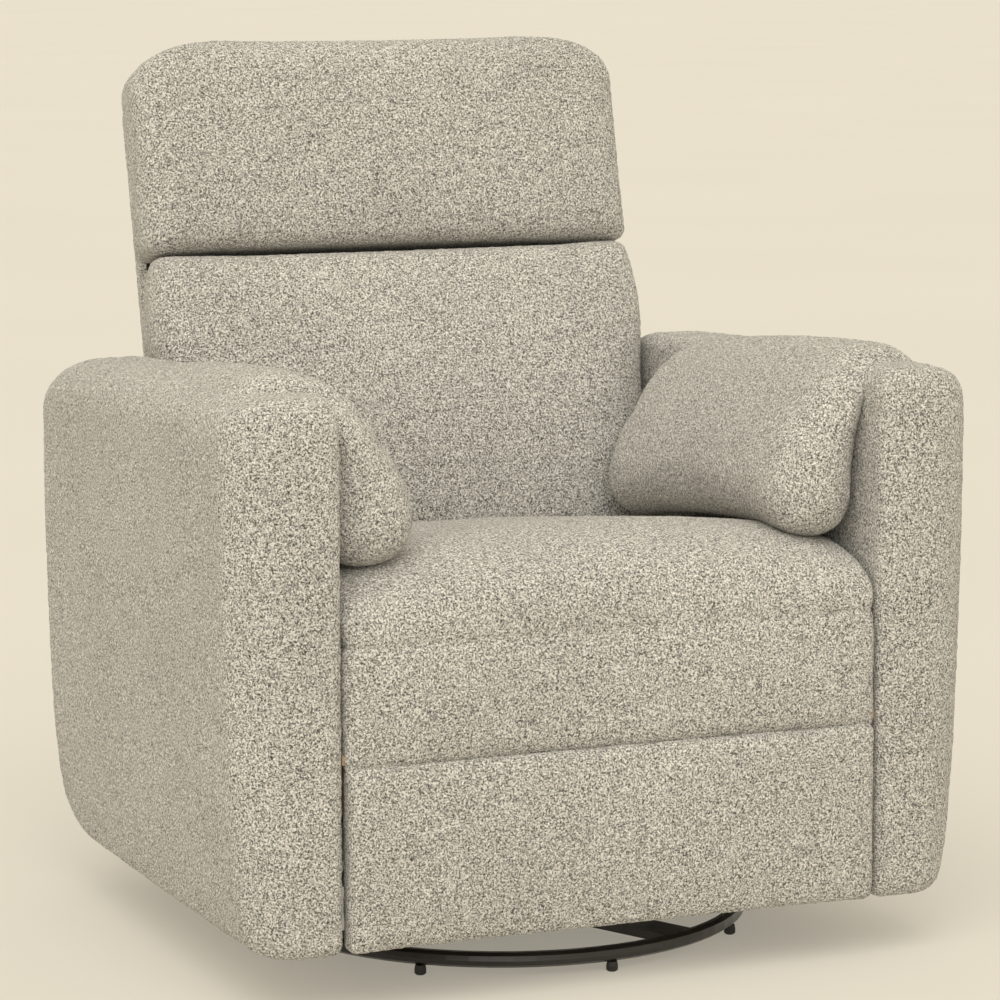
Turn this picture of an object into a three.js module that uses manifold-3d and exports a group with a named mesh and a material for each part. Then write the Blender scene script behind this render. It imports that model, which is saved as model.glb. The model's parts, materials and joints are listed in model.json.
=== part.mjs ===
// Swivel glider recliner for a nursery.
// Millimetres, +Z up, the sitter faces -Y, +X is the sitter's left.
// The origin is on the floor, under the middle of the whole chair.
// Inside the chair group every Y is measured from the swivel axis.
import * as THREE from "three";
import { mergeVertices } from "three/addons/utils/BufferGeometryUtils.js";
import { RoundedBoxGeometry } from "three/addons/geometries/RoundedBoxGeometry.js";
import Module from "manifold-3d";

const wasm = await Module();
wasm.setup();

// ---------------------------------------------------------------- sizes
const GAP = 0.3;                    // air between two pieces that rest on each other
const SWIVEL_Y = -106.5;             // swivel axis, from the middle of the chair

// ring base
const RING_RADIUS = 290;
const TUBE_RADIUS = 9.5;
const FOOT_HEIGHT = 12;
const FOOT_RADIUS = 7;
const FOOT_COUNT = 8;
const BASE_TURN = 26;               // degrees the cross is turned from straight ahead
const CROSS_WIDTH = 46;
const CROSS_THICKNESS = 10;
const SPINDLE_RADIUS = 14;
const BEARING_RADIUS = 78;

// glider: four hanging links, two each side
const GLIDE_PIVOT_Y = 86;           // fore and aft of the swivel axis
const GLIDE_TOP_Z = 250;
const GLIDE_LOW_Z = 110;
const GLIDE_PLATE_X = 176;          // inner face of the fixed side plates
const GLIDE_LINK_X = 181;
const GLIDE_RAIL_X = 190;
const STEEL = 4;                    // thickness of every flat steel piece
const PIN_RADIUS = 5;
const PIN_HOLE_RADIUS = 5.6;
const OPEN_HOLE_RADIUS = 6.6;       // loose hole where a linkage loop is left open
const GLIDE_LINK_RADIUS = 14;

// body of the chair
const ARM_INNER_X = 331.5;
const ARM_OUTER_X = 455;
const ARM_FRONT_Y = -348;
const ARM_REAR_Y = 402;
const ARM_BOTTOM_Z = 62;
const ARM_TOP_Z = 690;
const ARM_EDGE = 30;                // rounding of the arm's long edges
const SEAT_HALF_WIDTH = 327;
const SEAT_FRONT_Y = -352;
const SEAT_REAR_Y = 235;
const SEAT_BOTTOM_Z = 292;
const DECK_BOTTOM_Z = 281;
const MECHANISM_X = 301;            // inner face of the recliner side plates

// backrest, drawn upright around its pivot and then leaned back
const RECLINE_Y = 285;
const RECLINE_Z = 340;
const BACK_LEAN = 13.5;             // degrees
const BACK_HALF_WIDTH = 322;
const HEADREST_HALF_WIDTH = 326;
const HEADREST_BOTTOM = 450;
const BACK_TOP = 724;
const FRAME_FRONT = 42;
const FRAME_DEPTH = 24;
const FRAME_TOP = 640;
const COVER_REAR = 118;

// footrest linkage, one set each side
const THIGH_PIVOT = [-182, 243];    // Y and Z of the driving pivot
const THIGH_LENGTH = 150;
const SHANK_VECTOR = [-118, 142];   // from the knee to the footboard pivot
const GUIDE_SHARE = 0.19;           // place of the guide pivot along the shank
const LEG_LINK_RADIUS = 9;
const FOOTREST_BOTTOM_Z = 68;
const FOOTREST_TOP_Z = 272;

const RIGHT_ANGLE = Math.PI / 2;

// ---------------------------------------------------------------- materials
function material(colour, roughness, metalness = 0) {
  return new THREE.MeshStandardMaterial({ color: colour, roughness, metalness });
}

const fabric = () => material(0xc9c1b1, 0.95);
const blackTube = () => material(0x1b1817, 0.35, 0.6);
const darkSteel = () => material(0x3a3a3c, 0.45, 0.8);
const zincSteel = () => material(0xa9abad, 0.4, 0.9);
const plywood = () => material(0xb8935f, 0.7);
const footPlastic = () => material(0x141312, 0.6);

// ---------------------------------------------------------------- shape helpers
function toSolid(geometry) {
  const bare = geometry.index ? geometry.toNonIndexed() : geometry.clone();
  bare.deleteAttribute("normal");
  bare.deleteAttribute("uv");
  const merged = mergeVertices(bare, 1e-4);
  return new wasm.Manifold(new wasm.Mesh({
    numProp: 3,
    vertProperties: new Float32Array(merged.attributes.position.array),
    triVerts: new Uint32Array(merged.index.array),
  }));
}

function toGeometry(solid) {
  const mesh = solid.getMesh();
  const geometry = new THREE.BufferGeometry();
  geometry.setAttribute("position", new THREE.BufferAttribute(mesh.vertProperties, 3));
  geometry.setIndex(new THREE.BufferAttribute(mesh.triVerts, 1));
  geometry.computeVertexNormals();
  return geometry;
}

function joined(first, ...others) {
  return toGeometry(others.reduce((sum, other) => sum.add(toSolid(other)), toSolid(first)));
}

function cut(first, ...others) {
  return toGeometry(others.reduce((left, other) => left.subtract(toSolid(other)), toSolid(first)));
}

function piece(name, geometry, finish) {
  const mesh = new THREE.Mesh(geometry, finish);
  mesh.name = name;
  return mesh;
}

// A box given by its two extreme corners.
function block(x0, x1, y0, y1, z0, z1) {
  const geometry = new THREE.BoxGeometry(x1 - x0, y1 - y0, z1 - z0);
  return geometry.translate((x0 + x1) / 2, (y0 + y1) / 2, (z0 + z1) / 2);
}

function softBlock(x0, x1, y0, y1, z0, z1, radius) {
  const geometry = new RoundedBoxGeometry(x1 - x0, y1 - y0, z1 - z0, 3, radius);
  return geometry.translate((x0 + x1) / 2, (y0 + y1) / 2, (z0 + z1) / 2);
}

function extruded(outline, depth, edge, steps) {
  const rounded = edge > 0;
  return new THREE.ExtrudeGeometry(outline, {
    depth: depth - 2 * edge,
    bevelEnabled: rounded,
    bevelThickness: edge,
    bevelSize: edge,
    bevelOffset: -edge,
    bevelSegments: steps,
    curveSegments: 6,
  }).translate(0, 0, edge);
}

// Outline drawn in Y and Z, thickness along +X from x0.
function sidePlate(outline, x0, thickness, edge = 0, steps = 3) {
  const turn = new THREE.Matrix4().makeBasis(
    new THREE.Vector3(0, 1, 0), new THREE.Vector3(0, 0, 1), new THREE.Vector3(1, 0, 0));
  return extruded(outline, thickness, edge, steps).applyMatrix4(turn).translate(x0, 0, 0);
}

// Outline drawn in X and Z, thickness along Y from y0 to y1.
function frontPlate(outline, y0, y1, edge = 0, steps = 3) {
  const turn = new THREE.Matrix4().makeBasis(
    new THREE.Vector3(1, 0, 0), new THREE.Vector3(0, 0, 1), new THREE.Vector3(0, -1, 0));
  return extruded(outline, y1 - y0, edge, steps).applyMatrix4(turn).translate(0, y1, 0);
}

function polygon(points) {
  const outline = new THREE.Shape();
  points.forEach(([u, v], index) => (index ? outline.lineTo(u, v) : outline.moveTo(u, v)));
  return outline;
}

// A bar with round ends between two pivots, and a hole at each pivot that has a radius.
function linkOutline(from, to, radius, holeRadii) {
  const heading = Math.atan2(to[1] - from[1], to[0] - from[0]);
  const outline = new THREE.Shape();
  outline.absarc(from[0], from[1], radius, heading + RIGHT_ANGLE, heading - RIGHT_ANGLE);
  outline.absarc(to[0], to[1], radius, heading - RIGHT_ANGLE, heading + RIGHT_ANGLE);
  outline.closePath();
  [from, to].forEach((centre, index) => {
    if (holeRadii[index] > 0) {
      const hole = new THREE.Path();
      hole.absarc(centre[0], centre[1], holeRadii[index], 0, 2 * Math.PI, true);
      outline.holes.push(hole);
    }
  });
  return outline;
}

// A round pin along X through one pivot.
function pin(x0, x1, [y, z], radius = PIN_RADIUS) {
  const geometry = new THREE.CylinderGeometry(radius, radius, x1 - x0, 16);
  return geometry.rotateZ(RIGHT_ANGLE).translate((x0 + x1) / 2, y, z);
}

// A span of X mirrored to the chosen side: +1 is the sitter's left, -1 the right.
function span(side, near, far) {
  return side > 0 ? [near, far] : [-far, -near];
}

function sideName(side) {
  return side > 0 ? "left" : "right";
}

const SIDES = [1, -1];

// ---------------------------------------------------------------- ring base
function ringBase() {
  const height = FOOT_HEIGHT + TUBE_RADIUS;
  const ring = new THREE.TorusGeometry(RING_RADIUS, TUBE_RADIUS, 10, 72);
  return piece("ring_base", ring.translate(0, 0, height), blackTube());
}

function glideFoot(index) {
  const top = FOOT_HEIGHT - GAP;
  const profile = [[0, 0], [FOOT_RADIUS - 2, 0], [FOOT_RADIUS, 2], [FOOT_RADIUS, 7], [6, top], [0, top]];
  const points = profile.map(([radius, z]) => new THREE.Vector2(radius, z));
  const foot = new THREE.LatheGeometry(points, 14).rotateX(RIGHT_ANGLE);
  const angle = (BASE_TURN + (index + 0.5) * (360 / FOOT_COUNT)) * (Math.PI / 180);
  const mesh = piece(`glide_foot_${index + 1}`, foot, footPlastic());
  mesh.position.set(RING_RADIUS * Math.sin(angle), -RING_RADIUS * Math.cos(angle), 0);
  return mesh;
}

function baseCross() {
  const reach = RING_RADIUS - TUBE_RADIUS - 2;
  const low = FOOT_HEIGHT + TUBE_RADIUS - CROSS_THICKNESS / 2;
  const bar = () => new THREE.BoxGeometry(CROSS_WIDTH, 2 * reach, CROSS_THICKNESS);
  const cross = joined(bar(), bar().rotateZ(RIGHT_ANGLE));
  cross.rotateZ(BASE_TURN * (Math.PI / 180)).translate(0, 0, low + CROSS_THICKNESS / 2);
  return piece("base_cross_bars", cross, blackTube());
}

function turned(profile, segments) {
  const points = profile.map(([radius, z]) => new THREE.Vector2(radius, z));
  return new THREE.LatheGeometry(points, segments).rotateX(RIGHT_ANGLE);
}

const CROSS_TOP_Z = FOOT_HEIGHT + TUBE_RADIUS + CROSS_THICKNESS / 2;
const SWIVEL_LOWER_Z = CROSS_TOP_Z + GAP;
const SWIVEL_LOWER_TOP_Z = SWIVEL_LOWER_Z + 5;
const SWIVEL_UPPER_Z = SWIVEL_LOWER_TOP_Z + 9;
const SWIVEL_UPPER_TOP_Z = SWIVEL_UPPER_Z + 6;

function swivelSpindle() {
  const profile = [
    [0, SWIVEL_LOWER_Z], [110, SWIVEL_LOWER_Z], [110, SWIVEL_LOWER_TOP_Z],
    [SPINDLE_RADIUS, SWIVEL_LOWER_TOP_Z], [SPINDLE_RADIUS, SWIVEL_UPPER_TOP_Z + 8],
    [0, SWIVEL_UPPER_TOP_Z + 8],
  ];
  return piece("swivel_spindle_plate", turned(profile, 32), darkSteel());
}

function swivelBearing() {
  const low = SWIVEL_LOWER_TOP_Z + GAP;
  const high = SWIVEL_UPPER_Z - GAP;
  const inner = BEARING_RADIUS - 18;
  const profile = [
    [inner, low], [BEARING_RADIUS, low], [BEARING_RADIUS, high], [inner, high], [inner, low],
  ];
  return piece("swivel_bearing_race", turned(profile, 32), zincSteel());
}

// ---------------------------------------------------------------- turning platform
function swivelUpperPlate() {
  const bore = SPINDLE_RADIUS + 1;
  const profile = [
    [bore, SWIVEL_UPPER_Z], [125, SWIVEL_UPPER_Z], [125, SWIVEL_UPPER_TOP_Z],
    [bore, SWIVEL_UPPER_TOP_Z], [bore, SWIVEL_UPPER_Z],
  ];
  return piece("swivel_upper_plate", turned(profile, 32), darkSteel());
}

function platformBeam(name, y) {
  const reach = GLIDE_PLATE_X - GAP;
  const low = SWIVEL_UPPER_TOP_Z + GAP;
  return piece(name, block(-reach, reach, y - 18, y + 18, low, low + 14), darkSteel());
}

// U-shaped plate that carries the upper glide pivots.
function platformSidePlate(side) {
  const outer = GLIDE_PIVOT_Y + 18;
  const inner = GLIDE_PIVOT_Y - 14;
  const low = SWIVEL_UPPER_TOP_Z;
  const waist = low + 36;
  const top = GLIDE_TOP_Z + 14;
  const outline = polygon([
    [-outer, low], [outer, low], [outer, top], [inner, top],
    [inner, waist], [-inner, waist], [-inner, top], [-outer, top],
  ]);
  const [x0] = span(side, GLIDE_PLATE_X, GLIDE_PLATE_X + STEEL);
  const [pin0, pin1] = span(side, GLIDE_PLATE_X + 1, GLIDE_LINK_X + STEEL + 3.5);
  const [head0, head1] = span(side, GLIDE_LINK_X + STEEL + 0.5, GLIDE_LINK_X + STEEL + 3.5);
  const pivots = [[-GLIDE_PIVOT_Y, GLIDE_TOP_Z], [GLIDE_PIVOT_Y, GLIDE_TOP_Z]];
  const pins = pivots.map((pivot) => pin(pin0, pin1, pivot));
  const heads = pivots.map((pivot) => pin(head0, head1, pivot, 9));
  const plate = joined(sidePlate(outline, x0, STEEL), ...pins, ...heads);
  return piece(`platform_side_plate_${sideName(side)}`, plate, darkSteel());
}

function glideLink(side, end, y, lowHole) {
  const [x0] = span(side, GLIDE_LINK_X, GLIDE_LINK_X + STEEL);
  const outline = linkOutline(
    [y, GLIDE_TOP_Z], [y, GLIDE_LOW_Z], GLIDE_LINK_RADIUS, [PIN_HOLE_RADIUS, lowHole]);
  return piece(`glide_link_${end}_${sideName(side)}`, sidePlate(outline, x0, STEEL), zincSteel());
}

// ---------------------------------------------------------------- chair carriage
const CROSS_BAR_Y = 142;
const CROSS_BAR_DEPTH = 20;

function glideRail(side) {
  const [x0, x1] = span(side, GLIDE_RAIL_X, GLIDE_RAIL_X + STEEL);
  const [pin0, pin1] = span(side, GLIDE_PLATE_X + STEEL + 0.7, GLIDE_RAIL_X + 1);
  const reach = CROSS_BAR_Y - GAP;
  const rail = joined(
    block(x0, x1, -reach, reach, GLIDE_LOW_Z - 14, GLIDE_LOW_Z + 14),
    pin(pin0, pin1, [-GLIDE_PIVOT_Y, GLIDE_LOW_Z]),
    pin(pin0, pin1, [GLIDE_PIVOT_Y, GLIDE_LOW_Z]));
  return piece(`glide_rail_${sideName(side)}`, rail, darkSteel());
}

function carriageCrossBar(end, direction) {
  const near = direction * CROSS_BAR_Y;
  const far = direction * (CROSS_BAR_Y + CROSS_BAR_DEPTH);
  const reach = ARM_INNER_X - GAP;
  const bar = block(
    -reach, reach, Math.min(near, far), Math.max(near, far), GLIDE_LOW_Z - 12, GLIDE_LOW_Z + 12);
  return piece(`carriage_cross_bar_${end}`, bar, darkSteel());
}

const GUIDE_PIVOT = [0, 1].map((i) => THIGH_PIVOT[i] + GUIDE_SHARE * SHANK_VECTOR[i]);
const KNEE = [THIGH_PIVOT[0], THIGH_PIVOT[1] - THIGH_LENGTH];
const GUIDE_KNEE = [GUIDE_PIVOT[0], GUIDE_PIVOT[1] - THIGH_LENGTH];
const FOOT_PIVOT = [0, 1].map((i) => KNEE[i] + SHANK_VECTOR[i]);

// Long side plate with the footrest pivots in front and the recline pivot at the rear.
function mechanismPlate(side) {
  const top = DECK_BOTTOM_Z - 1.5;
  const outline = polygon([
    [-222, 232], [-150, 228], [240, 228], [290, 250], [300, 300], [297, 348], [288, 355],
    [276, 352], [272, 335], [262, 296], [240, top], [-212, top], [-222, 272],
  ]);
  const [x0] = span(side, MECHANISM_X, MECHANISM_X + STEEL);
  const [leg0, leg1] = span(side, MECHANISM_X - 5.3, MECHANISM_X + 1);
  const [back0, back1] = span(side, MECHANISM_X - 5.5, MECHANISM_X + 1);
  const plate = joined(
    sidePlate(outline, x0, STEEL),
    pin(leg0, leg1, THIGH_PIVOT),
    pin(leg0, leg1, GUIDE_PIVOT),
    pin(back0, back1, [RECLINE_Y, RECLINE_Z]));
  return piece(`mechanism_plate_${sideName(side)}`, plate, darkSteel());
}

function seatSideRail(side) {
  const [x0, x1] = span(side, MECHANISM_X + STEEL + GAP, ARM_INNER_X - GAP);
  const rail = block(x0, x1, -312, 240, 220, DECK_BOTTOM_Z - GAP);
  return piece(`seat_side_rail_${sideName(side)}`, rail, plywood());
}

function seatDeck() {
  const reach = ARM_INNER_X - GAP;
  const top = SEAT_BOTTOM_Z - GAP;
  const board = block(-reach, reach, -335, 215, DECK_BOTTOM_Z, top);
  const opening = block(-250, 250, -285, 165, DECK_BOTTOM_Z - 5, top + 5);
  return piece("seat_deck_frame", cut(board, opening), plywood());
}

// A flat zigzag spring wire lying along its second direction.
function zigzagWire(width, start, end, bends) {
  const step = (end - start) / bends;
  const points = [new THREE.Vector3(0, start, 0)];
  for (let bend = 0; bend < bends; bend += 1) {
    const across = (bend % 2 ? -width : width) / 2;
    points.push(new THREE.Vector3(across, start + (bend + 0.2) * step, 0));
    points.push(new THREE.Vector3(across, start + (bend + 0.8) * step, 0));
  }
  points.push(new THREE.Vector3(0, end, 0));
  const path = new THREE.CatmullRomCurve3(points, false, "catmullrom", 0.25);
  const section = new THREE.Shape();
  section.absarc(0, 0, 2, 0, 2 * Math.PI);
  return new THREE.ExtrudeGeometry(section, {
    steps: bends * 5, extrudePath: path, bevelEnabled: false, curveSegments: 2,
  });
}

function seatSpring(index) {
  const wire = zigzagWire(44, -282, 162, 12);
  const mesh = piece(`seat_spring_${index + 1}`, wire, zincSteel());
  mesh.position.set((index - 1) * 150, 0, (DECK_BOTTOM_Z + SEAT_BOTTOM_Z) / 2);
  return mesh;
}

const SEAT_REAR_DROP = 45;          // how far the top slopes down to the rear
const SEAT_SLOPE_FROM_Z = 400;

function slopeSeatTop(geometry) {
  const points = geometry.getAttribute("position");
  for (let index = 0; index < points.count; index += 1) {
    const along = (points.getY(index) - SEAT_FRONT_Y) / (SEAT_REAR_Y - SEAT_FRONT_Y);
    if (points.getZ(index) > SEAT_SLOPE_FROM_Z) {
      points.setZ(index, points.getZ(index) - SEAT_REAR_DROP * along);
    }
  }
  return geometry;
}

// Cushion with a crowned top, drawn in X and Z.
function seatCushion() {
  const crown = [[327, 455], [318, 474], [270, 484], [180, 503], [90, 514], [0, 518]];
  const rightHalf = [[315, SEAT_BOTTOM_Z], [327, 304], ...crown];
  const leftHalf = rightHalf.slice(0, -1).reverse().map(([x, z]) => [-x, z]);
  const outline = polygon([...rightHalf, ...leftHalf]);
  const geometry = slopeSeatTop(frontPlate(outline, SEAT_FRONT_Y, SEAT_REAR_Y, 12, 3));
  return piece("seat_cushion", geometry, fabric());
}

function armOutline() {
  const outline = new THREE.Shape();
  outline.moveTo(ARM_FRONT_Y + 40, ARM_BOTTOM_Z);
  outline.lineTo(ARM_REAR_Y - 110, ARM_BOTTOM_Z);
  outline.quadraticCurveTo(ARM_REAR_Y - 14, ARM_BOTTOM_Z, ARM_REAR_Y - 8, 150);
  outline.lineTo(ARM_REAR_Y, 330);
  outline.lineTo(ARM_REAR_Y, 570);
  outline.quadraticCurveTo(ARM_REAR_Y, 640, ARM_REAR_Y - 70, 662);
  outline.quadraticCurveTo(ARM_REAR_Y - 150, ARM_TOP_Z, 140, ARM_TOP_Z);
  outline.lineTo(ARM_FRONT_Y + 50, ARM_TOP_Z);
  outline.quadraticCurveTo(ARM_FRONT_Y, ARM_TOP_Z, ARM_FRONT_Y, ARM_TOP_Z - 50);
  outline.lineTo(ARM_FRONT_Y, ARM_BOTTOM_Z + 40);
  outline.quadraticCurveTo(ARM_FRONT_Y, ARM_BOTTOM_Z, ARM_FRONT_Y + 40, ARM_BOTTOM_Z);
  return outline;
}

const BOARD_X = 384;
const BOARD_THICKNESS = 18;

function arm(side) {
  const [x0] = span(side, ARM_INNER_X, ARM_OUTER_X);
  const [slot0, slot1] = span(side, BOARD_X - GAP, BOARD_X + BOARD_THICKNESS + GAP);
  const shell = sidePlate(armOutline(), x0, ARM_OUTER_X - ARM_INNER_X, ARM_EDGE, 4);
  const slot = block(slot0, slot1, -300 - GAP, 230 + GAP, ARM_BOTTOM_Z - 10, 600 + GAP);
  return piece(`arm_${sideName(side)}`, cut(shell, slot), fabric());
}

function armBoard(side) {
  const [x0, x1] = span(side, BOARD_X, BOARD_X + BOARD_THICKNESS);
  const board = block(x0, x1, -300, 230, ARM_BOTTOM_Z + 2, 600);
  return piece(`arm_board_${sideName(side)}`, board, plywood());
}

// Pad that lies on the arm and hangs down on its inner side, drawn in X and Z.
function armPillow(side) {
  const lap = ARM_EDGE + 1;
  const corner = [ARM_INNER_X + ARM_EDGE, ARM_TOP_Z - ARM_EDGE];
  const underside = [0, 22.5, 45, 67.5, 90].map((degrees) => {
    const angle = degrees * (Math.PI / 180);
    return [corner[0] - lap * Math.cos(angle), corner[1] + lap * Math.sin(angle)];
  });
  const outside = [
    [420, ARM_TOP_Z + 1], [417, 706], [392, 718], [352, 716], [312, 696], [284, 660], [260, 612],
    [238, 566], [229, 534], [236, 508], [262, 495], [300, 494], [322, 498], [330.5, 512],
  ];
  const ring = [...outside, ...underside].map(([x, z]) => [side * x, z]);
  const outline = polygon(side > 0 ? ring : ring.reverse());
  return piece(`arm_pillow_${sideName(side)}`, frontPlate(outline, -305, 215), fabric());
}

function rearValance() {
  const reach = ARM_INNER_X - GAP;
  const panel = softBlock(-reach, reach, 348, 366, 58, 214, 6);
  return piece("rear_valance", panel, fabric());
}

function releaseTab() {
  const panel = block(-330.8, -328.2, -150, -112, 400, 470);
  const grip = block(-335, -325, -143, -119, 448, 463);
  return piece("release_pull_tab", cut(panel, grip), footPlastic());
}

// ---------------------------------------------------------------- backrest
// Steel side member from the recline pivot up the back.
function backSideMember(side) {
  const rear = FRAME_FRONT + FRAME_DEPTH;
  const outline = polygon([
    [-12, -12], [rear, -12], [rear, FRAME_TOP], [FRAME_FRONT, FRAME_TOP], [FRAME_FRONT, 16], [-12, 16],
  ]);
  const hole = new THREE.Path();
  hole.absarc(0, 0, PIN_HOLE_RADIUS, 0, 2 * Math.PI, true);
  outline.holes.push(hole);
  const [x0] = span(side, MECHANISM_X - 1 - STEEL, MECHANISM_X - 1);
  return piece(`back_side_member_${sideName(side)}`, sidePlate(outline, x0, STEEL), darkSteel());
}

function backRail(name, low, high) {
  const reach = MECHANISM_X - 1 - STEEL - GAP;
  const rear = FRAME_FRONT + FRAME_DEPTH;
  return piece(name, block(-reach, reach, FRAME_FRONT, rear, low, high), plywood());
}

function backSpring(index) {
  const wire = zigzagWire(40, 43, FRAME_TOP - 53, 12).rotateX(RIGHT_ANGLE);
  const mesh = piece(`back_spring_${index + 1}`, wire, zincSteel());
  mesh.position.set((index - 0.5) * 220, FRAME_FRONT + FRAME_DEPTH / 2, 0);
  return mesh;
}

// Points of a quarter circle that starts in the given direction and turns left.
function corner(centreU, centreV, radius, startDegrees) {
  return [0, 1, 2, 3, 4, 5].map((step) => {
    const angle = (startDegrees + step * 18) * (Math.PI / 180);
    return [centreU + radius * Math.cos(angle), centreV + radius * Math.sin(angle)];
  });
}

// Nearly square at the bottom, generously rounded at the two top corners.
function archedOutline(halfWidth, low, high, topRadius, lowRadius) {
  return polygon([
    ...corner(halfWidth - lowRadius, low + lowRadius, lowRadius, -90),
    ...corner(halfWidth - topRadius, high - topRadius, topRadius, 0),
    ...corner(-halfWidth + topRadius, high - topRadius, topRadius, 90),
    ...corner(-halfWidth + lowRadius, low + lowRadius, lowRadius, 180),
  ]);
}

function lumbarCushion() {
  const outline = archedOutline(BACK_HALF_WIDTH, 24, HEADREST_BOTTOM - 4, 30, 30);
  const geometry = frontPlate(outline, -62, FRAME_FRONT - GAP, 22, 3);
  return piece("lumbar_cushion", geometry, fabric());
}

function headrestCushion() {
  const outline = archedOutline(HEADREST_HALF_WIDTH, HEADREST_BOTTOM, BACK_TOP, 95, 26);
  const geometry = frontPlate(outline, -48, FRAME_FRONT - GAP, 22, 3);
  return piece("headrest_cushion", geometry, fabric());
}

function backCover() {
  const outline = archedOutline(BACK_HALF_WIDTH, -70, BACK_TOP, 95, 20);
  const shell = frontPlate(outline, FRAME_FRONT, COVER_REAR, 16, 3);
  const reach = MECHANISM_X;
  const recess = block(-reach, reach, FRAME_FRONT - 10, FRAME_FRONT + FRAME_DEPTH + GAP, -80, FRAME_TOP + 2);
  const shoulders = block(-340, 340, FRAME_FRONT - 10, 100, -80, -13);
  return piece("back_cover", cut(shell, recess, shoulders), fabric());
}

// ---------------------------------------------------------------- footrest
function footrestPad() {
  const panel = softBlock(
    -SEAT_HALF_WIDTH, SEAT_HALF_WIDTH, SEAT_FRONT_Y, -331, FOOTREST_BOTTOM_Z, FOOTREST_TOP_Z, 9);
  return piece("footrest_pad", panel, fabric());
}

function footrestBoard() {
  const board = block(
    -314, 314, -331 + GAP, -319, FOOTREST_BOTTOM_Z + 6, FOOTREST_TOP_Z - 6);
  return piece("footrest_board", board, plywood());
}

// Steel bar on the back of the board with a drilled ear at each end.
function footrestBracket() {
  const back = -319 + GAP;
  const [y, z] = FOOT_PIVOT;
  const ear = (side) => {
    const outline = polygon([
      [back, z - 22], [y + 2, z - 12], [y + 11, z], [y + 2, z + 12], [back, z + 22],
    ]);
    const hole = new THREE.Path();
    hole.absarc(y, z, PIN_HOLE_RADIUS, 0, 2 * Math.PI, true);
    outline.holes.push(hole);
    const [x0] = span(side, MECHANISM_X - 15, MECHANISM_X - 11);
    return sidePlate(outline, x0, STEEL);
  };
  const bar = block(-288, 288, back, back + STEEL, z - 22, z + 22);
  return piece("footrest_bracket_bar", joined(bar, ear(1), ear(-1)), zincSteel());
}

function thighLink(side) {
  const [x0] = span(side, MECHANISM_X - 5, MECHANISM_X - 1);
  const outline = linkOutline(
    THIGH_PIVOT, KNEE, LEG_LINK_RADIUS, [PIN_HOLE_RADIUS, PIN_HOLE_RADIUS]);
  const plate = sidePlate(outline, x0, STEEL);
  return piece(`footrest_thigh_link_${sideName(side)}`, plate, zincSteel());
}

function guideLink(side) {
  const [x0] = span(side, MECHANISM_X - 5, MECHANISM_X - 1);
  const outline = linkOutline(
    GUIDE_PIVOT, GUIDE_KNEE, LEG_LINK_RADIUS, [PIN_HOLE_RADIUS, OPEN_HOLE_RADIUS]);
  const plate = sidePlate(outline, x0, STEEL);
  return piece(`footrest_guide_link_${sideName(side)}`, plate, zincSteel());
}

function shankLink(side) {
  const [x0] = span(side, MECHANISM_X - 10, MECHANISM_X - 6);
  const [knee0, knee1] = span(side, MECHANISM_X - 9, MECHANISM_X - 1.3);
  const [foot0, foot1] = span(side, MECHANISM_X - 15.3, MECHANISM_X - 7);
  const plate = joined(
    sidePlate(linkOutline(KNEE, FOOT_PIVOT, LEG_LINK_RADIUS, [0, 0]), x0, STEEL),
    pin(knee0, knee1, KNEE),
    pin(knee0, knee1, GUIDE_KNEE),
    pin(foot0, foot1, FOOT_PIVOT));
  return piece(`footrest_shank_link_${sideName(side)}`, plate, zincSteel());
}

// ---------------------------------------------------------------- assembly
function group(name, ...children) {
  const holder = new THREE.Group();
  holder.name = name;
  holder.add(...children);
  return holder;
}

function times(count, make) {
  return Array.from({ length: count }, (_, index) => make(index));
}

const base = group("base",
  ringBase(), ...times(FOOT_COUNT, glideFoot), baseCross(), swivelSpindle(), swivelBearing());

const platform = group("platform",
  swivelUpperPlate(), platformBeam("platform_beam_front", -60),
  platformBeam("platform_beam_rear", 60), ...SIDES.map(platformSidePlate));

const glideLinks = group("glide_links",
  ...SIDES.map((side) => glideLink(side, "front", -GLIDE_PIVOT_Y, PIN_HOLE_RADIUS)),
  ...SIDES.map((side) => glideLink(side, "rear", GLIDE_PIVOT_Y, OPEN_HOLE_RADIUS)));

const carriage = group("carriage",
  ...SIDES.map(glideRail), carriageCrossBar("front", -1), carriageCrossBar("rear", 1),
  ...SIDES.map(mechanismPlate), ...SIDES.map(seatSideRail), seatDeck(),
  ...times(3, seatSpring), seatCushion(), ...SIDES.map(arm), ...SIDES.map(armBoard),
  ...SIDES.map(armPillow), rearValance(), releaseTab());

const backrest = group("backrest",
  ...SIDES.map(backSideMember), backRail("back_rail_bottom", -12, 40),
  backRail("back_rail_top", FRAME_TOP - 50, FRAME_TOP), ...times(2, backSpring), lumbarCushion(),
  headrestCushion(), backCover());
backrest.position.set(0, RECLINE_Y, RECLINE_Z);
backrest.rotation.x = -BACK_LEAN * (Math.PI / 180);

const footrest = group("footrest",
  footrestPad(), footrestBoard(), footrestBracket(), ...SIDES.map(thighLink),
  ...SIDES.map(guideLink), ...SIDES.map(shankLink));

const chair = group("swivel_glider_recliner",
  base, platform, glideLinks, carriage, backrest, footrest);
chair.position.y = SWIVEL_Y;

export default chair;
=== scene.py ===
import json
import math

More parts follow.
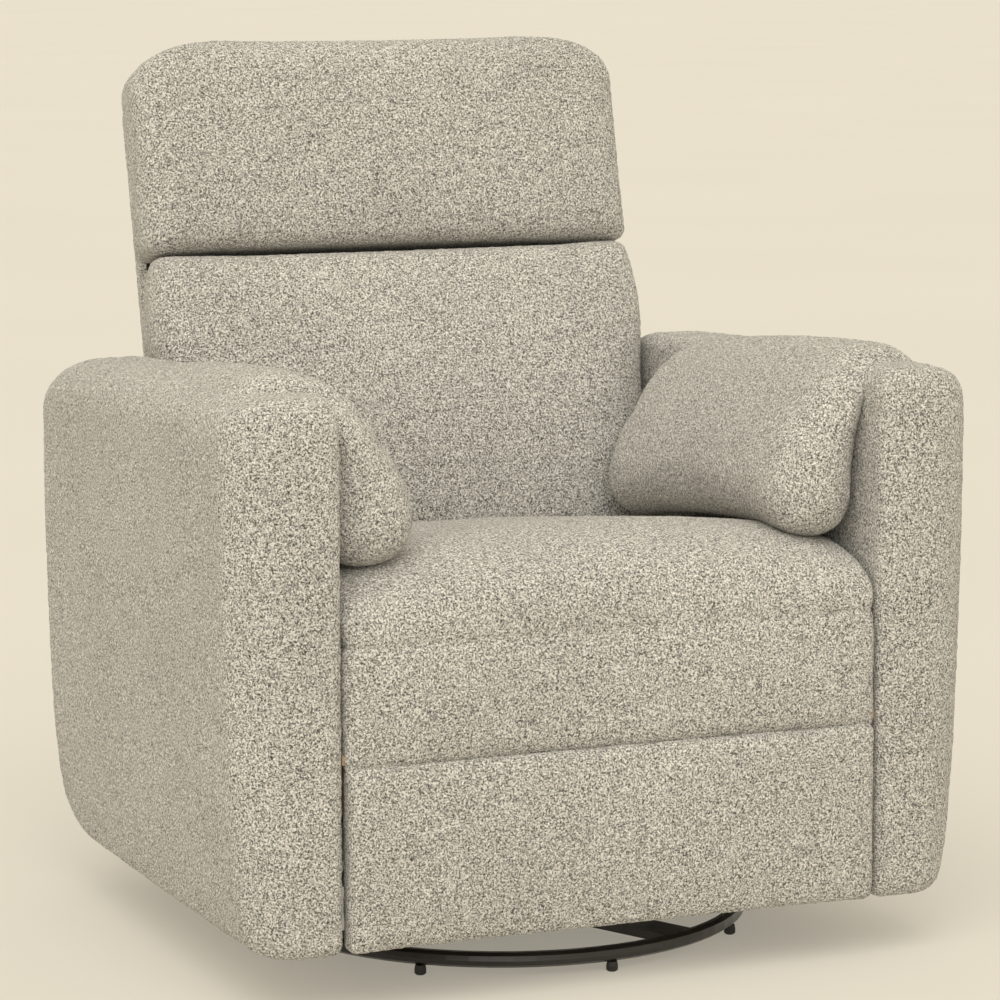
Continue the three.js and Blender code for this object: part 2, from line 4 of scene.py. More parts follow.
import bpy
import numpy as np
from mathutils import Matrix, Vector


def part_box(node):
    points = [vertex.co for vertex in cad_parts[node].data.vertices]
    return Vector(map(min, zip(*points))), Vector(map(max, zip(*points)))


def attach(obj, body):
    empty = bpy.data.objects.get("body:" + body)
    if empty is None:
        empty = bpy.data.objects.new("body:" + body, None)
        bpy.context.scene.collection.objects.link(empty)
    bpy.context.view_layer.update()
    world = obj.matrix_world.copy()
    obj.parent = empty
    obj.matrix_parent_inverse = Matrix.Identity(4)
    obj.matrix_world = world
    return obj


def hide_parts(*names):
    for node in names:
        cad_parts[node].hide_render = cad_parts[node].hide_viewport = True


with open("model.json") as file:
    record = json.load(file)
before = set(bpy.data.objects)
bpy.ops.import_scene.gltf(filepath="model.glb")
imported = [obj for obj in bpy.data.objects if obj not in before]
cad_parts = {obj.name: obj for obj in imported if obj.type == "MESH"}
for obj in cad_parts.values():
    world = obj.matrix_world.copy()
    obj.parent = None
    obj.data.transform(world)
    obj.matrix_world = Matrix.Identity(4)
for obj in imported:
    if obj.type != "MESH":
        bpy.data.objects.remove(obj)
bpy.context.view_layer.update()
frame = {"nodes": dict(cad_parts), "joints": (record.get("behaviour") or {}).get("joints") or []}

# Swivel glider nursery recliner. The steel, wood and plastic pieces are the CAD nodes with a better
# material. The upholstery is built here: each soft piece starts as a rounded block of the size of its
# CAD solid, is warped to its sewn shape and given its seams and the lumpy nap of the fabric. All but
# the arms and the valance are also blown up by a short cloth simulation. Shapes are worked out in
# millimetres in the row frame.
MM = 0.001
SIDES = {"left": 1, "right": -1}
COARSE_STEP = 11.0       # spacing of the first grid; one subdivision halves it
BACK_LEAN = math.radians(13.5)
BAG_PRESSURE = 4.0
BAG_FRAMES = 20


# ---------------------------------------------------------------- measuring the frame
def node_points(node):
    vertices = frame["nodes"][node].data.vertices
    points = np.empty(len(vertices) * 3)
    vertices.foreach_get("co", points)
    return points.reshape(-1, 3) / MM


def node_box(node):
    low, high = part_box(node)
    return np.array(low) / MM, np.array(high) / MM


def joint_origin(name):
    joint = next(j for j in frame["joints"] if j["name"] == name)
    return np.array(joint["pos_m"]) / MM


RECLINE_PIVOT = joint_origin("recline")


def lean(points, angle=BACK_LEAN):
    """Turns points from the upright back into its leaning rest position."""
    turned = np.array(points, float) - RECLINE_PIVOT
    y = turned[:, 1].copy()
    z = turned[:, 2].copy()
    turned[:, 1] = y * math.cos(angle) + z * math.sin(angle)
    turned[:, 2] = z * math.cos(angle) - y * math.sin(angle)
    return turned + RECLINE_PIVOT


def upright_box(node):
    """A back node's box once the back is stood upright about its pivot."""
    points = lean(node_points(node), -BACK_LEAN)
    return points.min(0), points.max(0)


# ---------------------------------------------------------------- building soft forms
def block_lattice(low, high, step):
    """Points and quads of a box surface, as an even grid."""
    counts = [max(4, int(round(size / step))) for size in np.subtract(high, low)]
    index = {}
    points = []
    quads = []

    def corner(i, j, k):
        key = (i, j, k)
        if key not in index:
            index[key] = len(points)
            points.append([low[a] + (high[a] - low[a]) * key[a] / counts[a] for a in range(3)])
        return index[key]

    for axis in range(3):
        u, v = (axis + 1) % 3, (axis + 2) % 3
        for end in (0, counts[axis]):
            for a in range(counts[u]):
                for b in range(counts[v]):
                    cell = []
                    for da, db in ((0, 0), (1, 0), (1, 1), (0, 1)):
                        key = [0, 0, 0]
                        key[axis], key[u], key[v] = end, a + da, b + db
                        cell.append(corner(*key))
                    quads.append(cell if end else cell[::-1])
    return np.array(points), quads


def rounded(points, low, high, radii, power=2.2):
    """Rounds a box surface: radii has a (low side, high side) pair for each axis."""
    low = np.array(low, float)
    high = np.array(high, float)
    radius_low = np.array([pair[0] for pair in radii], float)
    radius_high = np.array([pair[1] for pair in radii], float)
    inner = np.clip(points, low + radius_low, high - radius_high)
    radius = np.where(points < inner, radius_low, radius_high)
    away = (points - inner) / radius
    length = (np.abs(away) ** power).sum(1) ** (1 / power)
    reach = np.maximum(np.abs(away).max(1), 1e-9)
    scale = np.where(length > 1e-9, reach / np.maximum(length, 1e-9), 1.0)
    return inner + away * scale[:, None] * radius


def soft_mesh(name, low, high, radii, warp, step=COARSE_STEP):
    points, quads = block_lattice(low, high, step)
    points = warp(rounded(points, low, high, radii))
    mesh = bpy.data.meshes.new(name)
    mesh.from_pydata((points * MM).tolist(), [], quads)
    mesh.update()
    piece = bpy.data.objects.new(name, mesh)
    bpy.context.scene.collection.objects.link(piece)
    return piece


def coordinates(mesh):
    flat = np.empty(len(mesh.vertices) * 3)
    mesh.vertices.foreach_get("co", flat)
    return flat.reshape(-1, 3)


def set_coordinates(mesh, points):
    mesh.vertices.foreach_set("co", np.ascontiguousarray(points, float).ravel())
    mesh.update()


def normals(mesh):
    flat = np.empty(len(mesh.vertices) * 3)
    mesh.vertices.foreach_get("normal", flat)
    return flat.reshape(-1, 3)


def apply_modifiers(piece):
    depsgraph = bpy.context.evaluated_depsgraph_get()
    final = bpy.data.meshes.new_from_object(piece.evaluated_get(depsgraph))
    piece.modifiers.clear()
    old = piece.data
    piece.data = final
    bpy.data.meshes.remove(old)
    final.name = piece.name


def inflate(piece, cap):
    """Blows the piece up as a closed cloth bag; no point moves further than cap millimetres."""
    rest = coordinates(piece.data)
    cloth = piece.modifiers.new("cloth", "CLOTH")
    cloth.settings.use_pressure = True
    cloth.settings.uniform_pressure_force = BAG_PRESSURE
    cloth.settings.effector_weights.gravity = 0
    cloth.settings.quality = 5
    cloth.settings.mass = 0.3
    cloth.settings.tension_stiffness = 15
    cloth.settings.compression_stiffness = 15
    cloth.settings.bending_stiffness = 0.5
    cloth.collision_settings.use_collision = False
    cloth.point_cache.frame_start = 1
    cloth.point_cache.frame_end = BAG_FRAMES
    scene = bpy.context.scene
    for step in range(1, BAG_FRAMES + 1):
        scene.frame_set(step)
    apply_modifiers(piece)
    scene.frame_set(1)
    moved = coordinates(piece.data) - rest
    distance = np.linalg.norm(moved, axis=1)
    limit = cap * MM
    softened = limit * np.tanh(distance / limit)
    moved *= (softened / np.maximum(distance, 1e-9))[:, None]
    set_coordinates(piece.data, rest + moved)


def subdivide(piece):
    modifier = piece.modifiers.new("subdivision", "SUBSURF")
    modifier.levels = 1
    modifier.render_levels = 1
    apply_modifiers(piece)


def press_seams(piece, seams):
    """Each seam is (distance function in mm, depth, width): a narrow groove along distance 0."""
    points = coordinates(piece.data)
    inward = -normals(piece.data)
    for distance, depth, width in seams:
        away = distance(points / MM)
        groove = depth * np.exp(-((away / width) ** 2))
        points = points + inward * (groove * MM)[:, None]
    set_coordinates(piece.data, points)


def add_nap(piece, height=1.5, scale=0.006):
    """Lumps of the looped yarn, in the mesh itself, so that the outline is fuzzy too."""
    lumps = bpy.data.textures.get("nap_lumps") or bpy.data.textures.new("nap_lumps", "CLOUDS")
    lumps.noise_scale = scale
    lumps.noise_depth = 2
    displace = piece.modifiers.new("nap", "DISPLACE")
    displace.texture = lumps
    displace.texture_coords = "GLOBAL"
    displace.strength = 2 * height * MM
    displace.mid_level = 0.5
    apply_modifiers(piece)


def upholster(piece, body, nodes, seams=(), cap=0.0):
    """The steps that every upholstered piece shares; it is then parented to its body and its CAD
    nodes are hidden.
    """
    if cap:
        inflate(piece, cap)
    subdivide(piece)
    press_seams(piece, seams)
    add_nap(piece)
    piece.data.polygons.foreach_set("use_smooth", [True] * len(piece.data.polygons))
    piece.data.materials.clear()
    piece.data.materials.append(FABRIC)
    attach(piece, body)
    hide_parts(*nodes)
    return piece


def bump(t):
    """1 in the middle of -1..1, falling smoothly to 0 at both ends."""
    return np.clip(1 - np.asarray(t) ** 2, 0, 1)


def arch(points, top, half_width, corner_width, corner_height):
    """Draws the top corners in along a quarter ellipse."""
    rise = np.clip((points[:, 2] - (top - corner_height)) / corner_height, 0, 1)
    inset = corner_width * (1 - np.sqrt(1 - rise ** 2))
    points[:, 0] *= 1 - inset / half_width
    return points


# ---------------------------------------------------------------- materials
class Shader:
    """A Principled material being wired up, with short helpers for its texture nodes."""

    def __init__(self, name):
        self.material = bpy.data.materials.new(name)
        self.material.use_nodes = True
        self.nodes = self.material.node_tree.nodes
        self.links = self.material.node_tree.links
        self.surface = self.nodes["Principled BSDF"]
        self.place = self.nodes.new("ShaderNodeTexCoord").outputs["Object"]

    def stretched(self, x, y, z):
        mapping = self.nodes.new("ShaderNodeMapping")
        mapping.inputs["Scale"].default_value = (x, y, z)
        self.links.new(self.place, mapping.inputs["Vector"])
        return mapping.outputs["Vector"]

    def noise(self, scale, detail=2.0, roughness=0.5, vector=None):
        node = self.nodes.new("ShaderNodeTexNoise")
        node.inputs["Scale"].default_value = scale
        node.inputs["Detail"].default_value = detail
        node.inputs["Roughness"].default_value = roughness
        self.links.new(vector or self.place, node.inputs["Vector"])
        return node.outputs["Fac"]

    def cells(self, scale):
        node = self.nodes.new("ShaderNodeTexVoronoi")
        node.inputs["Scale"].default_value = scale
        self.links.new(self.place, node.inputs["Vector"])
        return node.outputs["Distance"]

    def ramp(self, value, *stops):
        node = self.nodes.new("ShaderNodeValToRGB")
        ends = node.color_ramp.elements
        while len(ends) < len(stops):
            ends.new(0.5)
        for element, (position, colour) in zip(ends, stops):
            element.position = position
            element.color = (*colour, 1) if isinstance(colour, tuple) else (colour,) * 3 + (1,)
        self.links.new(value, node.inputs["Fac"])
        return node.outputs["Color"]

    def math(self, operation, a, b):
        node = self.nodes.new("ShaderNodeMath")
        node.operation = operation
        for socket, value in zip(node.inputs, (a, b)):
            if isinstance(value, (int, float)):
                socket.default_value = value
            else:
                self.links.new(value, socket)
        return node.outputs["Value"]

    def blend(self, mode, share, a, b):
        node = self.nodes.new("ShaderNodeMix")
        node.data_type = "RGBA"
        node.blend_type = mode
        sockets = [s for s in node.inputs if s.enabled]
        for socket, value in zip(sockets, (share, a, b)):
            if isinstance(value, (int, float)):
                socket.default_value = value
            elif isinstance(value, tuple):
                socket.default_value = (*value, 1)
            else:
                self.links.new(value, socket)
        return next(s for s in node.outputs if s.enabled)

    def bump(self, height, distance, strength=1.0):
        node = self.nodes.new("ShaderNodeBump")
        node.inputs["Distance"].default_value = distance
        node.inputs["Strength"].default_value = strength
        self.links.new(height, node.inputs["Height"])
        self.links.new(node.outputs["Normal"], self.surface.inputs["Normal"])

    def set(self, **values):
        for name, value in values.items():
            socket = self.surface.inputs[name.replace("_", " ")]
            if isinstance(value, (int, float)):
                socket.default_value = value
            elif isinstance(value, tuple):
                socket.default_value = (*value, 1)
            else:
                self.links.new(value, socket)
        return self.material


def boucle_fabric():
    """Warm grey looped yarn: pale loops with dark gaps, faint slubs both ways, soft sheen. The dark
    gaps are painted shade and the pale loop tops are painted light, both following the bump.
    """
    s = Shader("boucle_fabric")
    loops = s.noise(400, detail=4, roughness=0.78)
    pepper = s.noise(560, detail=1)
    # painted shade and painted light: dark where the loops noise is low, in the gaps of the bump, and
    # pale on the loop tops
    tone = s.ramp(loops, (0.38, (0.15, 0.142, 0.127)), (0.48, (0.55, 0.53, 0.485)),
                  (0.58, (0.96, 0.93, 0.87)))
    tone = s.blend("MULTIPLY", 1.0, tone, s.ramp(pepper, (0.37, 0.18), (0.46, 1.0)))
    across = s.noise(95, detail=2, vector=s.stretched(1, 1, 7))
    upright = s.noise(95, detail=2, vector=s.stretched(7, 7, 1))
    slubs = s.math("ADD", across, upright)
    slub_tone = s.ramp(s.math("MULTIPLY", slubs, 0.5), (0.40, 0.78), (0.58, 1.0))
    tone = s.blend("MULTIPLY", 0.7, tone, slub_tone)
    patches = s.ramp(s.noise(5, detail=2), (0.35, 0.93), (0.65, 1.0))
    tone = s.blend("MULTIPLY", 1.0, tone, patches)
    height = s.math("ADD", loops, s.math("MULTIPLY", s.cells(420), -0.5))
    height = s.math("ADD", height, s.math("MULTIPLY", slubs, 0.4))
    s.bump(height, 0.0016)
    rough = s.ramp(loops, (0.3, 1.0), (0.7, 0.86))
    return s.set(Base_Color=tone, Roughness=rough, Sheen_Weight=0.18, Sheen_Roughness=0.6,
                 Specular_IOR_Level=0.2)


def painted_tube():
    """Satin brown-black paint with a faint orange peel and dust worn into it."""
    s = Shader("painted_tube")
    dust = s.noise(14, detail=6, roughness=0.65)
    tone = s.ramp(dust, (0.35, (0.012, 0.009, 0.008)), (0.75, (0.024, 0.019, 0.016)))
    rough = s.ramp(s.noise(60, detail=4), (0.3, 0.30), (0.7, 0.42))
    s.bump(s.noise(700, detail=1), 0.0001, 0.4)
    return s.set(Base_Color=tone, Roughness=rough, Coat_Weight=0.25, Coat_Roughness=0.25)


def dark_steel():
    """Powder-coated brackets, rubbed paler in places."""
    s = Shader("dark_steel")
    worn = s.noise(35, detail=5, roughness=0.7)
    tone = s.ramp(worn, (0.45, (0.022, 0.022, 0.023)), (0.80, (0.075, 0.073, 0.070)))
    rough = s.ramp(worn, (0.3, 0.55), (0.8, 0.36))
    s.bump(s.noise(900, detail=2), 0.00015, 0.5)
    return s.set(Base_Color=tone, Roughness=rough, Metallic=0.35)


def zinc_steel():
    """Zinc-plated wire and links with rolling lines."""
    s = Shader("zinc_steel")
    lines = s.noise(120, detail=3, vector=s.stretched(6, 1, 1))
    tone = s.ramp(lines, (0.3, (0.42, 0.43, 0.44)), (0.7, (0.62, 0.62, 0.60)))
    rough = s.ramp(s.noise(50, detail=4), (0.3, 0.28), (0.7, 0.45))
    s.bump(lines, 0.0001, 0.4)
    return s.set(Base_Color=tone, Roughness=rough, Metallic=0.9)


def plywood():
    """Pale plywood with long grain."""
    s = Shader("plywood")
    grain = s.noise(30, detail=5, roughness=0.6, vector=s.stretched(1, 12, 12))
    tone = s.ramp(grain, (0.35, (0.30, 0.18, 0.09)), (0.65, (0.55, 0.38, 0.22)))
    rough = s.ramp(grain, (0.3, 0.75), (0.7, 0.55))
    s.bump(grain, 0.0003, 0.5)
    return s.set(Base_Color=tone, Roughness=rough)


def foot_plastic():
    """Moulded dark plastic glides with a fine grain."""
    s = Shader("foot_plastic")
    grain = s.noise(900, detail=2)
    tone = s.ramp(s.noise(40, detail=3), (0.3, (0.010, 0.009, 0.009)), (0.7, (0.022, 0.020, 0.019)))
    s.bump(grain, 0.0002, 0.5)
    return s.set(Base_Color=tone, Roughness=s.ramp(grain, (0.3, 0.45), (0.7, 0.6)))


def webbing():
    """Black twill webbing for the release tab."""
    s = Shader("webbing")
    twill = s.nodes.new("ShaderNodeTexWave")
    twill.inputs["Scale"].default_value = 260
    twill.bands_direction = "DIAGONAL"
    s.links.new(s.place, twill.inputs["Vector"])
    ribs = twill.outputs["Fac"]
    tone = s.ramp(ribs, (0.2, (0.012, 0.012, 0.013)), (0.8, (0.045, 0.044, 0.046)))
    s.bump(ribs, 0.0003)
    return s.set(Base_Color=tone, Roughness=s.ramp(ribs, (0.3, 0.9), (0.7, 0.7)), Sheen_Weight=0.2)


FABRIC = boucle_fabric()
HARD_FINISHES = {
    "ring_base": "tube", "base_cross_bars": "tube", "glide_foot": "foot",
    "swivel_spindle_plate": "steel", "swivel_bearing_race": "zinc", "swivel_upper_plate": "steel",
    "platform_": "steel", "glide_link": "zinc", "glide_rail": "steel", "carriage_": "steel",
    "mechanism_": "steel", "footrest_thigh": "zinc", "footrest_shank": "zinc",
    "footrest_guide": "zinc", "footrest_bracket": "steel", "footrest_board": "wood",
    "seat_side_rail": "wood", "seat_deck": "wood", "seat_spring": "zinc", "arm_board": "wood",
    "back_rail": "wood", "back_side_member": "steel", "back_spring": "zinc",
}


def finish_hard_nodes():
    """Gives each CAD node that stays in view its material."""
    finishes = {"tube": painted_tube(), "steel": dark_steel(), "zinc": zinc_steel(),
                "wood": plywood(), "foot": foot_plastic()}
    for name, node in frame["nodes"].items():
        for start, finish in HARD_FINISHES.items():
            if name.startswith(start):
                for material_slot in node.material_slots:
                    material_slot.material = finishes[finish]


# ---------------------------------------------------------------- upholstered pieces
SEAT_CROWN = 31
SEAT_BACK_DROP = 62
SEAT_FRONT_ROLL = 34
SEAT_SEAM_HEIGHT = 412


def seat_cushion():
    low, high = node_box("seat_cushion")
    deck_low, _ = node_box("seat_deck_frame")
    low = low + (-9, 0, 0)
    high = np.array([high[0] + 9, high[1] - 2, 484.0])
    crest = low[1] + 150
    lip_from = deck_low[1] + 18

    def warp(points):
        across = points[:, 0] / high[0]
        back = np.clip((points[:, 1] - crest) / (high[1] - crest), 0, 1)
        lift = np.clip((points[:, 2] - 385) / 90, 0, 1)
        roll = np.clip((crest - points[:, 1]) / (crest - low[1]), 0, 1)
        points[:, 2] += lift * (
            SEAT_CROWN * bump(across) - 6 - SEAT_BACK_DROP * back - SEAT_FRONT_ROLL * roll ** 2.4)
        height = np.clip((points[:, 2] - low[2]) / (high[2] - low[2]), 0, 1)
        front = np.clip((crest - points[:, 1]) / 150, 0, 1) ** 2
        points[:, 1] -= front * 5 * np.sin(math.pi * height) * bump(across) ** 0.5
        lip = np.clip((lip_from - points[:, 1]) / 16, 0, 1) * (1 - height) ** 3
        points[:, 2] -= lip * (24 + 8 * np.abs(across) ** 8)
        return points

    radii = ((13, 13), (26, 40), (12, 52))
    cushion = soft_mesh("seat_cushion_soft", low, high, radii, warp)

    def front_seam(points):
        back = np.clip((points[:, 1] - (low[1] + 70)) / 10, 0, 30)
        return points[:, 2] - SEAT_SEAM_HEIGHT + back

    seams = [(front_seam, 2.6, 3.0), (front_seam, 3.0, 20.0)]
    return upholster(cushion, "seat_carriage", ["seat_cushion"], seams, cap=8)


def footrest_pad():
    low, high = node_box("footrest_pad")
    board_back = node_box("footrest_board")[1][1] + 1
    low = low + (-3, 1, -2)
    high = np.array([high[0] + 3, board_back, high[2] + 8])
    centre = (low + high) / 2
    half = (high - low) / 2

    def warp(points):
        across = (points[:, 0] - centre[0]) / half[0]
        up = (points[:, 2] - centre[2]) / half[2]
        front = np.clip((centre[1] - points[:, 1]) / 12, 0, 1)
        points[:, 1] -= front * 6 * bump(across) ** 0.5 * bump(up)
        return points

    radii = ((11, 11), (15, 5), (12, 9))
    pad = soft_mesh("footrest_pad_soft", low, high, radii, warp, step=9)
    return upholster(pad, "footrest_panel", ["footrest_pad"], cap=2.5)


ARM_OUTER_HEIGHTS = (50, 85, 132, 233, 347, 506)
ARM_OUTER_X = (428, 437, 445, 452, 456, 459)
ARM_REAR_ROUND = 106
ARM_REAR_CORNER = 130    # length of the corner that sweeps up at the lower rear
ARM_REAR_LIFT = 50
ARM_NOSE = 24            # how far the outer front edge falls back


def arm(side):
    name = f"arm_{side}"
    sign = SIDES[side]
    low, high = node_box(name)
    inner, outer = sorted((abs(low[0]), abs(high[0])))
    start = np.array([inner, low[1], low[2] + 2])
    end = np.array([outer, high[1], high[2]])
    top_slope_from = low[1] + 140
    slope_length = high[1] - top_slope_from

    def warp(points):
        y = points[:, 1].copy()
        height = points[:, 2] - low[2]
        slope = np.clip((y - top_slope_from) / slope_length, 0, 1)
        rear = np.clip((y - (high[1] - ARM_REAR_ROUND)) / ARM_REAR_ROUND, 0, 1)
        drop = 26 * slope ** 1.4 + 42 * rear ** 2.2
        outer_here = np.interp(points[:, 2], ARM_OUTER_HEIGHTS, ARM_OUTER_X)
        thickness = (points[:, 0] - inner) / (outer - inner)
        points[:, 0] = inner + thickness * (outer_here - inner)
        rear_corner = np.clip((y - (high[1] - ARM_REAR_CORNER)) / ARM_REAR_CORNER, 0, 1) ** 2
        points[:, 2] += ARM_REAR_LIFT * rear_corner * np.clip(1 - height / 170, 0, 1)
        points[:, 1] -= 10 * np.clip((200 - points[:, 2]) / 122, 0, 1) * rear_corner
        nose = np.clip((low[1] + 150 - y) / 150, 0, 1) ** 2
        points[:, 1] += ARM_NOSE * nose * np.clip(2 * thickness - 1, 0, 1) ** 2
        belly = bump((y - (low[1] + high[1]) / 2) / ((high[1] - low[1]) / 2))
        points[:, 0] += 4 * belly * np.clip(thickness - 0.5, 0, 0.5) * 2
        points[:, 2] -= drop * height / (high[2] - low[2])
        points[:, 0] *= sign
        return points

    radii = ((10, 62), (26, 46), (19, 50))
    piece = soft_mesh(f"{name}_soft", start, end, radii, warp, step=12)
    if sign < 0:
        piece.data.flip_normals()
    return upholster(piece, "seat_carriage", [name], cap=0)


# Centre line of the pillow's section in X and Z, from the arm's top to the seat, and half thickness.
PILLOW_SPINE = ((434, 672, 6), (404, 690, 12), (372, 693, 15), (342, 683, 20), (317, 658, 26),
                (300, 624, 34), (286, 584, 45), (279, 546, 53), (277, 489, 55))
PILLOW_HALF = 40


def arm_pillow(side):
    name = f"arm_pillow_{side}"
    sign = SIDES[side]
    low, high = node_box(name)
    spine = np.array(PILLOW_SPINE, float)
    run = np.concatenate([[0], np.cumsum(np.hypot(*np.diff(spine[:, :2], axis=0).T))])
    length = run[-1]

    def warp(points):
        place = np.clip(points[:, 0], 0, length)
        x = np.interp(place, run, spine[:, 0])
        z = np.interp(place, run, spine[:, 1])
        half = np.interp(place, run, spine[:, 2])
        step = 12
        ahead = np.clip(place + step, 0, length)
        behind = np.clip(place - step, 0, length)
        dx = np.interp(ahead, run, spine[:, 0]) - np.interp(behind, run, spine[:, 0])
        dz = np.interp(ahead, run, spine[:, 1]) - np.interp(behind, run, spine[:, 1])
        size = np.hypot(dx, dz)
        out = points[:, 2] / PILLOW_HALF * half
        along = np.clip((points[:, 1] - low[1]) / (high[1] - low[1]), 0, 1)
        front_end = np.clip(1 - (points[:, 1] - low[1]) / 90, 0, 1)
        merge = front_end ** 2 * np.clip(1 - place / 150, 0, 1)
        return np.stack([
            sign * (x + out * dz / size + 3 * along),
            points[:, 1] + 42 * merge,
            z - out * dx / size - 44 * along ** 1.8 - 30 * merge,
        ], 1)

    start = np.array([0, low[1] - 11, -PILLOW_HALF])
    end = np.array([length, high[1], PILLOW_HALF])
    radii = ((14, 62), (58, 50), (38, 38))
    piece = soft_mesh(f"{name}_soft", start, end, radii, warp, step=10)
    if sign > 0:
        piece.data.flip_normals()
    return upholster(piece, "seat_carriage", [name], cap=7)


def back_piece(name, grow, radii, shape, seams=(), cap=0.0):
    """A cushion of the back, drawn upright about the recline pivot and then leaned."""
    low, high = upright_box(name)
    low = low + grow[0]
    high = high + grow[1]

    def warp(points):
        return lean(shape(points, low, high))

    piece = soft_mesh(f"{name}_soft", low, high, radii, warp)
    upright_seams = [
        (lambda points, line=line: line(lean(points, -BACK_LEAN), low, high), depth, width)
        for line, depth, width in seams]
    return upholster(piece, "backrest", [name], upright_seams, cap=cap)


def headrest_cushion():
    def shape(points, low, high):
        arch(points, high[2], high[0], 134, 68)
        across = points[:, 0] / high[0]
        up = (points[:, 2] - low[2]) / (high[2] - low[2])
        front = np.clip((high[1] - points[:, 1]) / (high[1] - low[1]), 0, 1)
        points[:, 0] *= 1 - 0.04 * (1 - front)
        points[:, 1] -= front * 9 * bump(across) ** 0.5 * np.sin(math.pi * np.clip(up, 0, 1))
        return points

    grow = ((-13, -8, -3), (13, 0, 5))
    return back_piece("headrest_cushion", grow, ((24, 24), (38, 6), (10, 36)), shape, cap=8)


def lumbar_cushion():
    def shape(points, low, high):
        across = points[:, 0] / high[0]
        up = np.clip((points[:, 2] - low[2]) / (high[2] - low[2]), 0, 1)
        shoulder = np.clip((up - 0.88) / 0.12, 0, 1)
        over_arms = np.exp(-((points[:, 2] - 700) / 70) ** 2)
        points[:, 0] *= 1 - 0.015 * shoulder ** 1.5 + 0.03 * over_arms
        rear = np.clip((points[:, 1] - low[1] - 30) / (high[1] - low[1] - 30), 0, 1)
        points[:, 0] *= 1 - 0.06 * rear
        front = np.clip((high[1] - points[:, 1]) / (high[1] - low[1]), 0, 1)
        points[:, 1] -= front * 30 * bump(across) ** 0.3 * np.sin(math.pi * up) ** 0.8
        return points

    grow = ((-9, -5, 0), (9, 0, 9))
    return back_piece("lumbar_cushion", grow, ((20, 20), (50, 6), (40, 12)), shape, cap=8)


def back_cover():
    def shape(points, low, high):
        arch(points, high[2], high[0], 120, 70)
        clear_of_plates = np.clip((low[2] + 75 - points[:, 2]) / 25, 0, 1)
        points[:, 0] *= 1 - 0.09 * clear_of_plates
        across = points[:, 0] / high[0]
        up = np.clip((points[:, 2] - low[2]) / (high[2] - low[2]), 0, 1)
        rear = np.clip((points[:, 1] - low[1]) / (high[1] - low[1]), 0, 1)
        points[:, 1] += rear * 6 * bump(across) ** 0.5 * np.sin(math.pi * up)
        return points

    def panel_seam(points, low, high):
        return points[:, 1] - (high[1] - 26)

    seams = [(panel_seam, 3.0, 3.5)]
    grow = ((10, -3, 16), (-10, -4, -8))
    return back_piece("back_cover", grow, ((60, 60), (3, 66), (14, 50)), shape, seams, cap=4)


def rear_valance():
    low, high = node_box("rear_valance")
    radii = ((7, 7), (8, 8), (9, 9))
    piece = soft_mesh("rear_valance_soft", low, high, radii, lambda points: points, step=8)
    return upholster(piece, "seat_carriage", ["rear_valance"])


def release_pull_tab():
    """A flat tab of webbing, narrower in its lower half."""
    low, high = node_box("release_pull_tab")
    middle = (low + high) / 2

    def warp(points):
        rise = (points[:, 2] - low[2]) / (high[2] - low[2])
        points[:, 0] = middle[0] + (points[:, 0] - middle[0]) * (0.7 + 0.3 * (rise > 0.45))
        return points

    radii = ((1.2, 1.2), (1.5, 1.5), (1.5, 1.5))
    piece = soft_mesh("release_pull_tab_soft", low, high, radii, warp, step=2.5)
    subdivide(piece)
    piece.data.materials.append(webbing())
    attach(piece, "release_tab")
    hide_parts("release_pull_tab")
    return piece


finish_hard_nodes()
seat_cushion()
footrest_pad()
for side_name in SIDES:
    arm(side_name)
    arm_pillow(side_name)
headrest_cushion()
lumbar_cushion()
back_cover()
rear_valance()
release_pull_tab()


# ---------------------------------------------------------------- studio
def floor():
    half = 150.0
    corners = [(-half, -half, 0), (half, -half, 0), (half, half, 0), (-half, half, 0)]
    mesh = bpy.data.meshes.new("studio_floor")
    mesh.from_pydata(corners, [], [(0, 1, 2, 3)])
    plane = bpy.data.objects.new("studio_floor", mesh)
    bpy.context.scene.collection.objects.link(plane)
    s = Shader("studio_floor")
    tone = s.ramp(s.noise(0.7, detail=1), (0.3, (0.44, 0.42, 0.38)), (0.7, (0.45, 0.43, 0.39)))
    mesh.materials.append(s.set(Base_Color=tone, Roughness=0.9, Specular_IOR_Level=0.1,
                                Emission_Color=(1.0, 0.93, 0.78), Emission_Strength=0.29))


SUN_DIRECTION = Vector((-0.62, -1.15, 2.0))
SEAT_MIDDLE = Vector((0.08, -0.05, 0.62))


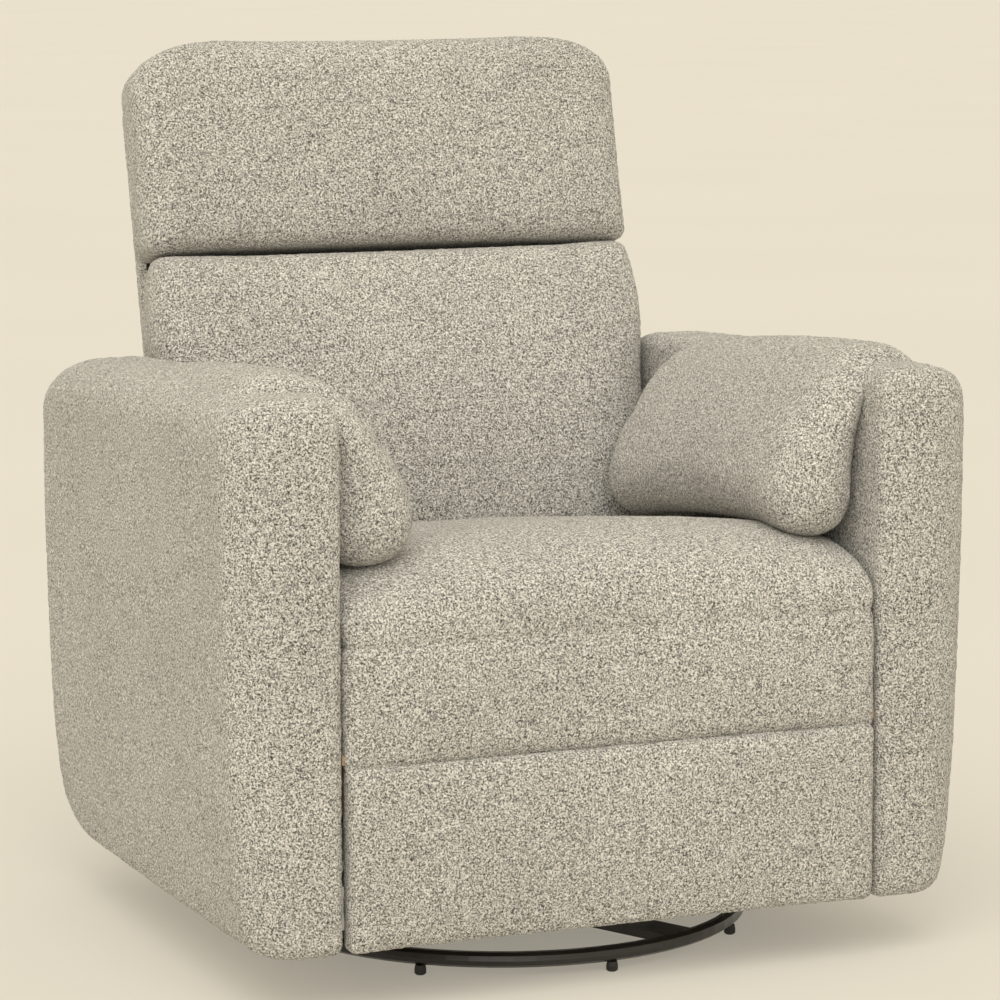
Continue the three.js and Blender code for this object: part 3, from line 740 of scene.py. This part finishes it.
def studio_world():
    """The same cream as the lit floor, so that no horizon shows from a low camera."""
    world = bpy.data.worlds.new("studio")
    world.use_nodes = True
    background = world.node_tree.nodes["Background"]
    background.inputs["Color"].default_value = (0.82, 0.76, 0.63, 1)
    background.inputs["Strength"].default_value = 1.0
    bpy.context.scene.world = world


def place_light(data, direction, location=(0, 0, 0)):
    """Adds a light at location, shining from direction."""
    light = bpy.data.objects.new(data.name, data)
    light.location = location
    light.rotation_euler = direction.to_track_quat("Z", "Y").to_euler()
    bpy.context.scene.collection.objects.link(light)


def key_light():
    data = bpy.data.lights.new("key_light", "SUN")
    data.energy = 1.3
    data.angle = math.radians(50)
    data.color = (1.0, 0.975, 0.925)
    place_light(data, SUN_DIRECTION)


def fill_light():
    data = bpy.data.lights.new("fill_light", "AREA")
    data.shape = "DISK"
    data.size = 3.0
    data.energy = 25
    location = Vector((-2.6, -4.2, 2.2))
    place_light(data, location - Vector((0, 0, 0.5)), location)


def seat_light():
    """A soft pool of light on the seat and the lower back."""
    data = bpy.data.lights.new("seat_light", "SPOT")
    data.energy = 80
    data.spot_size = math.radians(21)
    data.spot_blend = 1.0
    data.shadow_soft_size = 0.5
    location = Vector((-0.6, -3.0, 1.9))
    place_light(data, location - SEAT_MIDDLE, location)


CAMERA_TURN = math.radians(-23.04)
CAMERA_PITCH = math.radians(8.94)
CAMERA_DISTANCE = 4.725
CAMERA_HEIGHT = 1.216
FOCAL_SHARE = 3.978      # focal length over sensor width


def camera():
    data = bpy.data.cameras.new("camera")
    data.sensor_width = 36
    data.lens = FOCAL_SHARE * data.sensor_width
    data.shift_y = 0.032
    data.clip_end = 1000
    eye = bpy.data.objects.new("camera", data)
    axis_y = joint_origin("swivel")[1] * MM
    eye.location = (
        math.sin(CAMERA_TURN) * CAMERA_DISTANCE,
        axis_y - math.cos(CAMERA_TURN) * CAMERA_DISTANCE,
        CAMERA_HEIGHT)
    eye.rotation_euler = (math.pi / 2 - CAMERA_PITCH, 0, CAMERA_TURN)
    bpy.context.scene.collection.objects.link(eye)
    bpy.context.scene.camera = eye


floor()
studio_world()
key_light()
fill_light()
seat_light()
camera()
bpy.context.scene.view_settings.view_transform = "Standard"
